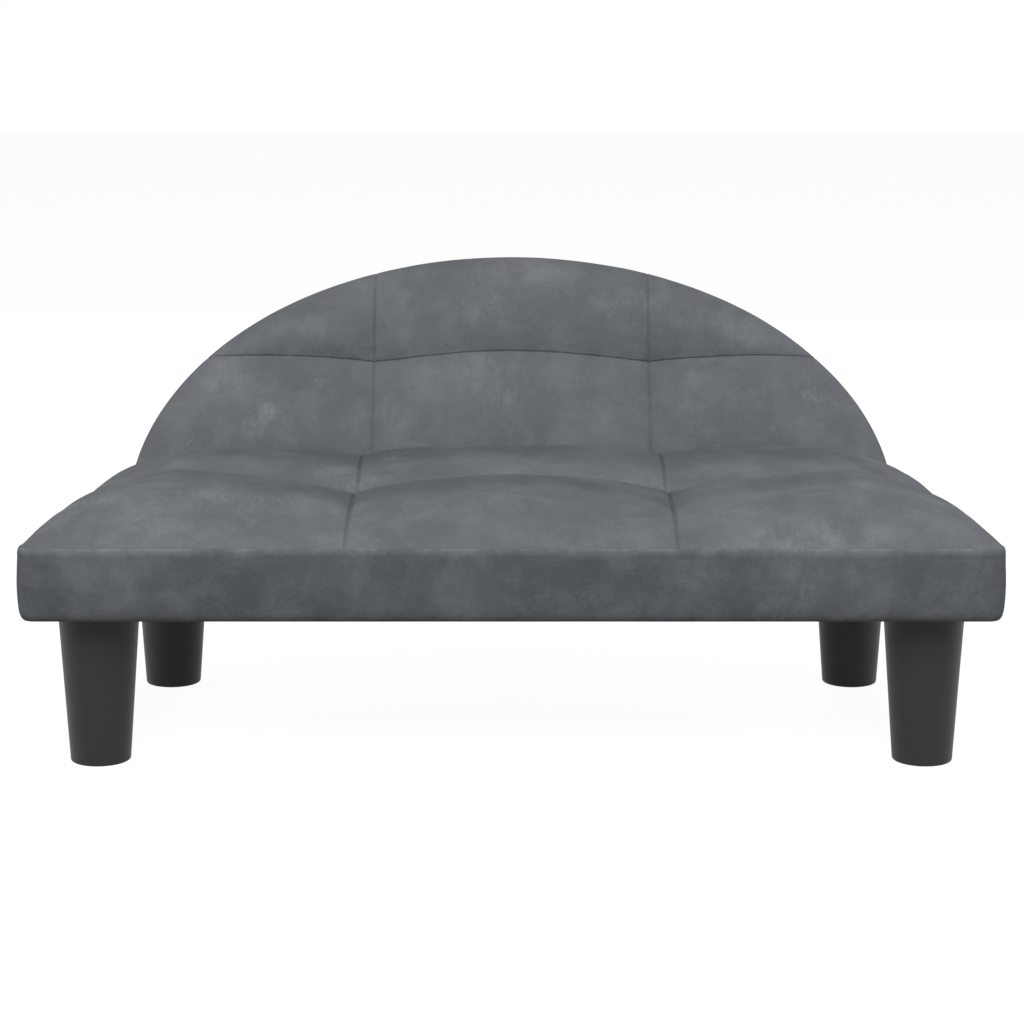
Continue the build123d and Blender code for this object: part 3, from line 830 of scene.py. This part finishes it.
class Tree:
    """The nodes and links of a material or of the world."""

    def __init__(self, owner):
        owner.use_nodes = True
        self.nodes, self.links = owner.node_tree.nodes, owner.node_tree.links

    def node(self, kind, settings=None, sockets=None, output=0):
        """Any node: its type, its settings, which are set first, then its sockets."""
        made = self.nodes.new(kind)
        for name, value in (settings or {}).items():
            setattr(made, name, value)
        self.plug(made, sockets or {})
        return Value(self, made.outputs[output])

    def plug(self, made, sockets):
        """Give each socket of a node its link or its value."""
        for name, value in sockets.items():
            if isinstance(value, Value):
                self.links.new(value.socket, made.inputs[name])
            else:
                made.inputs[name].default_value = value

    def seen(self):
        """1 for what the camera, a reflection or a view through glass shows, 0 for light."""
        rays = "Is Camera Ray", "Is Glossy Ray", "Is Transmission Ray"
        seen, *others = (self.node("ShaderNodeLightPath", output=ray) for ray in rays)
        for ray in others:
            seen = seen.math("MAXIMUM", ray)
        return seen


class Finish(Tree):
    """A material under way: its nodes, its shader, and the place on the piece."""

    def __init__(self, name, **constants):
        self.material = bpy.data.materials.new(name)
        super().__init__(self.material)
        self.shader = self.nodes["Principled BSDF"]
        self.set(**constants)
        self.place = self.start = self.node("ShaderNodeTexCoord", output="Object")

    def turned(self, turn=(0, 0, 0), scale=(1, 1, 1), shift=(0, 0, 0)):
        """The place on the piece, shifted, turned and stretched."""
        sockets = {"Vector": self.place, "Location": shift, "Rotation": turn, "Scale": scale}
        return self.node("ShaderNodeMapping", {}, sockets)

    def noise(self, scale, detail=2.0, rough=0.5, distortion=0.0, place=None):
        """Cloudy noise between 0 and 1, with its clouds 1 / scale metres wide."""
        sockets = {"Vector": place or self.place, "Scale": scale, "Detail": detail}
        sockets |= {"Roughness": rough, "Distortion": distortion}
        return self.node("ShaderNodeTexNoise", {}, sockets)

    def near(self, x, y, z, reach):
        """1 at a spot of the piece, in millimetres, and 0 further off than the reach."""
        sockets = {0: self.start, 1: (x * mm, y * mm, z * mm)}
        away = self.node("ShaderNodeVectorMath", {"operation": "DISTANCE"}, sockets, 1)
        return 1 - away.between(0.35 * reach * mm, reach * mm)

    def colours(self, mask, first, second):
        """The first colour where the mask is 0 and the second where it is 1."""
        return self.node("ShaderNodeMix", {"data_type": "RGBA"}, {0: mask, 6: first, 7: second}, 2)

    def bump(self, height, distance, strength, **under):
        """Bump from a height between 0 and 1, over another bump given as the Normal."""
        sockets = {"Height": height, "Distance": distance, "Strength": strength, **under}
        return self.node("ShaderNodeBump", {}, sockets)

    def set(self, **values):
        """Link values to the shader's sockets, or set them."""
        self.plug(self.shader, {name.replace("_", " "): v for name, v in values.items()})
        return self.material


def grey(level, blue=0.0):
    """A colour from an sRGB grey level of 0 to 255, a little bluer if asked."""
    levels = np.array([level - blue, level, level + blue]) / 255
    return (*(((levels + 0.055) / 1.055) ** 2.4).tolist(), 1.0)


# %% [markdown]
# ### Brushed suede cloth
#
# The cover is a suede-like cloth with a short nap. Where a hand has brushed the nap the
# other way it looks lighter, in soft blots with a few thin streaks, and it is worn light at
# rubbed spots. Bands along the seat's crest lines are painted darker as shade, the seat
# band's roll under its seam is painted lighter as the light on it, and the bands' cloth is
# painted darker as the shade on their upright sides. A picture of cloth could be wrapped
# round the sofa, but nothing would hide its seams. Clouds of noise in two sizes, and noise
# drawn out along a slant for the strokes, have no seam.

# %% Mix the suede
def suede(name, shade, contrast, shift, turn, rubbed=(), creased=(), shaded_crests=(), seam=None):
    """Brushed suede over a slate base: a sum of masks, each times how much lighter its nap
    is. Rubbed spots are lighter, and creased spots have fine folds, painted a little darker as
    their shade. Crest bands across the seat are painted darker, as shade, and the roll below a
    seam at a height is painted lighter, as light on it."""
    f = Finish("slate suede of the " + name, Roughness=0.88, Specular_IOR_Level=0.04)
    depth, height = (f.node("ShaderNodeSeparateXYZ", {}, {0: f.start}, k) for k in (1, 2))
    f.place = f.turned(shift=shift)
    clouds = f.noise(12, 4, 0.55, 0.2).between(0.38, 0.68)
    patches = f.noise(30, 8, 0.68, 0.2).between(0.4, 0.66)
    strokes = f.noise(1, 3, 0.65, 0.2, f.turned(turn, (240, 45, 110))).between(0.4, 0.75)
    where_brushed = f.noise(10.5, 2, 0.5, 0.2, f.turned(shift=(3.1, 1.7, 0.4)))
    brushed = strokes * where_brushed.between(0.6, 0.7)
    dots = f.noise(430, 1).between(0.63, 0.72)
    hairline = 1 - abs(f.noise(14, 3, 0.45, 0.1) - 0.5).between(0.001, 0.004)
    where_scuffed = f.noise(30, 1, place=f.turned(shift=(0.7, 2.9, 1.3)))
    scuffs = hairline * where_scuffed.between(0.62, 0.7)
    grain = f.noise(700, 4, 0.75)
    light = (clouds * 0.2 + patches * 0.24) * contrast + brushed * 0.26 + scuffs * 0.14
    flecked = f.noise(17, 3).between(0.54, 0.68) * 0.2
    for *spot, amount in rubbed:
        rub = f.near(*spot)
        light = rub * (strokes * 0.6 + patches * 0.5 + 0.2) * amount + light
        flecked = rub * (0.6 * amount) + flecked
    # Painted shade: the seat is darker in bands along its crest lines.
    for y in shaded_crests:
        band = 1 - abs(depth - y * mm).between(12 * mm, 42 * mm)
        light = light - band * (patches * 0.3 + 0.7) * 0.23
    # Painted highlight: the band's roll just under the seam is lighter, as light on it.
    if seam:
        light = light + height.between(seam - 9 * mm, seam - 2 * mm) * (patches * 0.1 + 0.17)
        light = light + height.between(seam - 1.6 * mm, seam - 0.6 * mm) * (patches * 0.16)
    base = 0.1 - 0.22 * contrast + 0.025 * len(shaded_crests)
    tone = light + dots * flecked + grain * 0.5 + base
    normal = f.bump(patches, 0.5 * mm, 0.4, Normal=f.bump(grain, 0.25 * mm, 0.5))
    if creased:
        ridge = abs(f.noise(1, 2, place=f.turned(scale=(24, 62, 20))) - 0.5)
        creases_and_shade = (1 - ridge.between(0.0, 0.09)) * sum(f.near(*spot) for spot in creased)
        # Painted shade: the crease lines are a little darker.
        tone = tone - creases_and_shade * 0.07
        normal = f.bump(1 - creases_and_shade, 0.9 * mm, 0.5, Normal=normal)
    tone = tone.math("MAXIMUM", 0.0).math("MINIMUM", 1.0)
    colour = f.colours(tone, grey(90 + shade, 3.6), grey(140 + shade, 4.0))
    return f.set(Base_Color=colour, Normal=normal)


# A spot is its place and reach in millimetres, and a rubbed one also how light it is.
seat_rubbed = (
    (-226, -185, 194, 27, 0.24), (-196, -184, 192, 27, 0.24), (-165, -181, 189, 25, 0.2),
    (-122, -60, 184, 34, 0.14), (100, -62, 184, 36, 0.12), (185, -228, 172, 24, 0.2),
    (222, -224, 174, 26, 0.26), (256, -228, 172, 22, 0.18),
)
seat_creased = (
    (-262, -172, 191, 40), (-165, -180, 189, 22), (-140, -176, 190, 18), (-98, -42, 186, 14),
    (215, -176, 190, 26),
)
back_rubbed = (
    (-214, 100, 200, 15, 0.45), (-202, 106, 211, 12, 0.45), (-98, 108, 213, 22, 0.26),
    (-22, 116, 236, 42, 0.2), (-22, 151, 307, 42, 0.18), (25, 156, 318, 30, 0.1),
    (72, 150, 303, 12, 0.22), (84, 146, 294, 12, 0.22), (104, 149, 300, 20, 0.18),
    (195, 142, 282, 32, 0.12), (244, 122, 240, 12, 0.2), (250, 116, 226, 12, 0.2),
    (152, 121, 241, 17, 0.16), (147, 105, 208, 22, 0.16), (-238, 119, 238, 30, 0.16),
    (-160, 119, 238, 10, 0.18), (-148, 114, 228, 10, 0.18), (-175, 134, 272, 30, 0.16),
)
seat_look = 0, 0.8, (0.3, 0.1, 0.2), (0.3, 0.2, 1.3)
# The bands' suede is the same cloth painted ten levels darker, as the shade on their upright
# sides.
shaded_band_look = -10, 1.0, (1.3, 2.1, 0.7), (0.2, -0.5, 0.4)
back_look = 1, 0.68, (2.2, 0.4, 1.1), (0.1, 0.6, 0.3)
seat_suede = suede("seat", *seat_look, seat_rubbed, seat_creased, shaded_crests=(-128, -3))
seat_band_suede = suede("seat's band", *shaded_band_look, seam=seat_seam)
back_band_suede = suede("backrest's band", *shaded_band_look)
back_suede = suede("backrest", *back_look, back_rubbed)


def thread(name, level):
    """Twisted thread: darker and lighter in fine turns."""
    f = Finish(name, Roughness=0.7, Specular_IOR_Level=0.3)
    turns = f.noise(2500, 1)
    return f.set(Base_Color=f.colours(turns, grey(level - 12, 3), grey(level + 12, 3)))


# The grey thread is the topstitch's own colour; the channels' and the arch's stitches are in
# thread painted dark, as the shade in their grooves.
top_thread = thread("grey thread", 104)
shade_dark_thread = thread("thread painted dark as groove shade", 44)
print("mixed the suede and the threads")

# %% [markdown]
# ### Hard parts
#
# The legs are moulded in black plastic with a fine satin grain, the brackets are powder
# coated, and bolts, screws and staples are zinc plated. Battens and boards are bare pine and
# plywood. A picture of wood would end at each edge, so its rings are noise drawn out along
# the grain.

# %% Mix the finishes of the hard parts
f = Finish("satin black plastic", Roughness=0.45, Specular_IOR_Level=0.24)
grain, cloud = f.noise(1400, 2, 0.6), f.noise(24)
colour = f.colours(cloud * 0.6 + grain * 0.4, grey(41, 0.8), grey(53, 1.0))
rough = grain * 0.1 + cloud * 0.08 + 0.4
plastic = f.set(Base_Color=colour, Roughness=rough, Normal=f.bump(grain, 0.08 * mm, 0.5))

f = Finish("black powder coat", Specular_IOR_Level=0.5)
peel, worn = f.noise(900, 3, 0.6), f.noise(60, 4, 0.7).between(0.6, 0.8)
colour, bumpy = f.colours(worn, grey(34), grey(58)), f.bump(peel, 0.1 * mm, 0.6)
powder_coat = f.set(Base_Color=colour, Roughness=peel * 0.25 + 0.38, Normal=bumpy)

f = Finish("zinc plate", Metallic=1.0)
cloud = f.noise(180, 3, 0.6)
colour = f.colours(cloud, grey(168, 2), grey(205, 1))
zinc = f.set(Base_Color=colour, Roughness=cloud * 0.3 + 0.25)

f = Finish("black lining", Roughness=0.9, Specular_IOR_Level=0.2)
fibres = f.noise(900, 3, 0.7, 2.0)
dots = f.node("ShaderNodeTexVoronoi", {}, {"Vector": f.place, "Scale": 600.0})
colour = f.colours(fibres * 0.7 + dots * 0.3, grey(28), grey(60))
lining = f.set(Base_Color=colour, Normal=f.bump(dots, 0.15 * mm, 0.6))


def wood(name, stretch, pale, dark=(0.42, 0.25, 0.11, 1)):
    """Bare wood: growth rings and pores drawn out along the grain."""
    f = Finish(name, Roughness=0.6)
    grain = f.noise(1, 4, 0.6, 0.8, f.turned(scale=stretch))
    pores = f.noise(1, place=f.turned(scale=tuple(9 * s for s in stretch)))
    colour = f.colours(grain.between(0.3, 0.7) * 0.8 + pores * 0.2, pale, dark)
    rough, bumpy = pores * 0.2 + 0.5, f.bump(pores, 0.2 * mm, 0.4)
    return f.set(Base_Color=colour, Roughness=rough, Normal=bumpy)


pine = wood("pine battens", (7, 90, 90), (0.62, 0.42, 0.22, 1))
pine_across = wood("pine bearers", (90, 7, 90), (0.6, 0.41, 0.22, 1))
plywood = wood("plywood", (12, 12, 160), (0.66, 0.48, 0.28, 1), (0.5, 0.33, 0.17, 1))
finishes = {
    seat_suede: "seat_cushion",
    back_suede: "back_cushion back_panel",
    seat_band_suede: "seat_band",
    back_band_suede: "back_band",
    top_thread: "seat_topstitch back_panel_stitches",
    shade_dark_thread: "seat_channel_stitches back_channel_stitches arch_seam_stitches",
    plastic: "front_left_leg front_right_leg rear_left_leg rear_right_leg",
    powder_coat: "left_bracket right_bracket",
    zinc: "leg_tee_nuts leg_studs back_tee_nuts back_bolts frame_screws deck_screws "
    "bracket_screws staples",
    pine: "front_rail rear_rail",
    pine_across: "left_rail right_rail left_bearer right_bearer corner_blocks",
    plywood: "seat_deck back_board",
    lining: "dust_sheet",
}
for material, names in finishes.items():
    for name in names.split():
        slots = bpy.data.objects[name].data.materials
        slots.clear()
        slots.append(material)
print("finished", len(" ".join(finishes.values()).split()), "pieces")

# %% [markdown]
# ## Studio
#
# The sofa stands on a plain white floor under one large softbox above and in front. Small
# ones at both sides and behind only lift the shadows. A hard lamp would show the quilting
# more, but the real shadows are soft. The camera looks slightly down from two metres.

# %% Floor and world
# The floor is white where the camera looks, with a little of the sofa's shadow left in it,
# and a duller grey for the light that it throws back up.
f = Finish("white floor", Roughness=0.9, Base_Color=(0.3, 0.3, 0.3, 1))
glow = f.node("ShaderNodeEmission", {}, {"Color": (1, 1, 1, 1), "Strength": 1.12})
pale = f.node("ShaderNodeBsdfDiffuse", {}, {"Color": (0.9, 0.9, 0.9, 1)})
white = f.node("ShaderNodeMixShader", {}, {0: 0.85, 1: pale, 2: glow})
dull = Value(f, f.shader.outputs[0])
choice = f.node("ShaderNodeMixShader", {}, {0: f.seen(), 1: dull, 2: white})
f.plug(f.nodes["Material Output"], {0: choice})
mesh = bpy.data.meshes.new("studio_floor")
mesh.from_pydata([(-9, -9, 0), (9, -9, 0), (9, 9, 0), (-9, 9, 0)], [], [(0, 1, 2, 3)])
floor = add_object("studio_floor", mesh)
floor.data.materials.append(f.material)

world = bpy.context.scene.world = bpy.data.worlds.new("studio")
sky = Tree(world)
seen_strength, light_strength = 1.0, 0.16
strength = sky.seen() * (seen_strength - light_strength) + light_strength
sky.plug(sky.nodes["Background"], {"Color": (1, 1, 1, 1), "Strength": strength})
print("the studio is set")

# %% Lamps, as square softboxes that face their aims
for name, place, aim, size, watts in (
    ("softbox over the front", (-0.1, -2.18, 2.5), (0, 0, 0.15), 1.7, 93),
    ("softbox on the left", (-1.35, 0.1, 0.4), (0, 0, 0.1), 0.8, 3.8),
    ("softbox on the right", (1.35, 0.1, 0.4), (0, 0, 0.1), 0.8, 3.8),
    ("low softbox at the back", (0.2, 2.3, 0.9), (0, 0.1, 0.2), 1.2, 26),
):
    data = bpy.data.lights.new(name, "AREA")
    data.shape, data.size, data.energy = "SQUARE", size, watts
    lamp = add_object(name, data)
    lamp.location = place
    lamp.rotation_euler = (Vector(aim) - Vector(place)).to_track_quat("-Z", "Y").to_euler()
    print(name, "gives", watts, "watts")

# %% Camera
looks_down = 0.1
data = bpy.data.cameras.new("camera")
data.sensor_width, data.lens = 36, 95.66
data.shift_x, data.shift_y = 0.00054, -0.2365
camera = bpy.context.scene.camera = add_object("camera", data)
camera.location = (0, -2.11828, 0.5528)
camera.rotation_euler = (np.pi / 2 - looks_down, 0, 0)
bpy.context.scene.view_settings.view_transform = "Standard"
print("camera at", tuple(camera.location))
